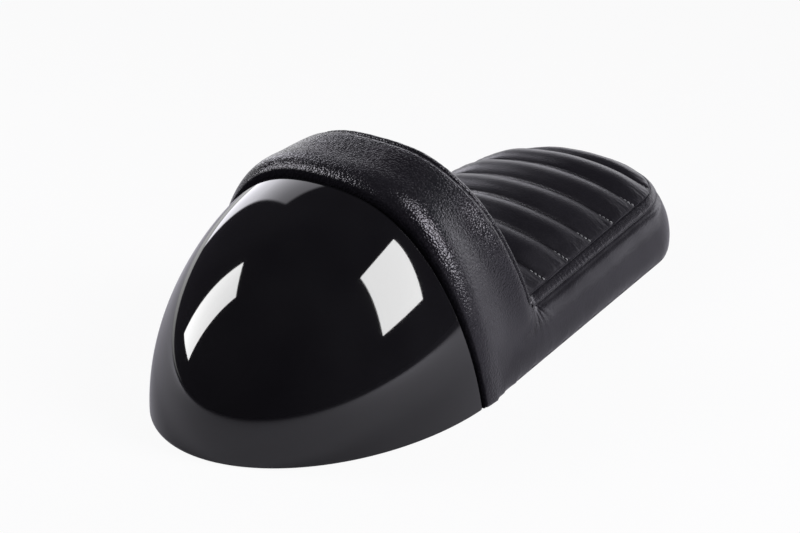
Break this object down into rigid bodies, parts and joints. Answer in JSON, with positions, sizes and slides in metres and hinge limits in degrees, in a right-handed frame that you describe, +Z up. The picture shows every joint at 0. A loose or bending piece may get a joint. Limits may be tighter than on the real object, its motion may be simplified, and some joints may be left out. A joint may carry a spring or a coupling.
{
  "type": "motorcycle seat with tail cowl",
  "caption": "Short solo motorcycle seat with a ribbed upholstered pad, a padded bum stop and a smooth gloss tail cowl behind it, bolted to the frame by studs under its pan.",
  "frame": {"origin": "on the ground plane that the rim stands on, below the middle of the overall length and width", "axes": "+X towards the nose of the seat, +Y to the rider's left, +Z up"},
  "size_m": [0.5491, 0.2502, 0.1741],
  "materials": {
    "ribbed_vinyl": "fine grained satin vinyl",
    "cover_vinyl": "pebble grained semi-gloss vinyl",
    "gloss_cowl": "polished gloss black",
    "pan_plastic": "moulded matt black",
    "foam": "moulded foam",
    "zinc_steel": "zinc plated",
    "insert_brass": "turned",
    "buffer_rubber": "moulded"
  },
  "bodies": {
    "root": {"ribbed_panel": "ribbed_vinyl", "bumstop_panel": "ribbed_vinyl", "seam_welt": "cover_vinyl", "side_band": "cover_vinyl", "cowl_shell": "gloss_cowl", "base_pan": "pan_plastic", "seat_foam": "foam", "mount_studs": "zinc_steel", "stud_washers": "zinc_steel", "stud_nuts": "zinc_steel", "cowl_screws": "zinc_steel", "cowl_washers": "zinc_steel", "cowl_inserts": "insert_brass", "rear_right_buffer": "buffer_rubber", "rear_left_buffer": "buffer_rubber", "front_right_buffer": "buffer_rubber", "front_left_buffer": "buffer_rubber"}
  },
  "joints": []
}
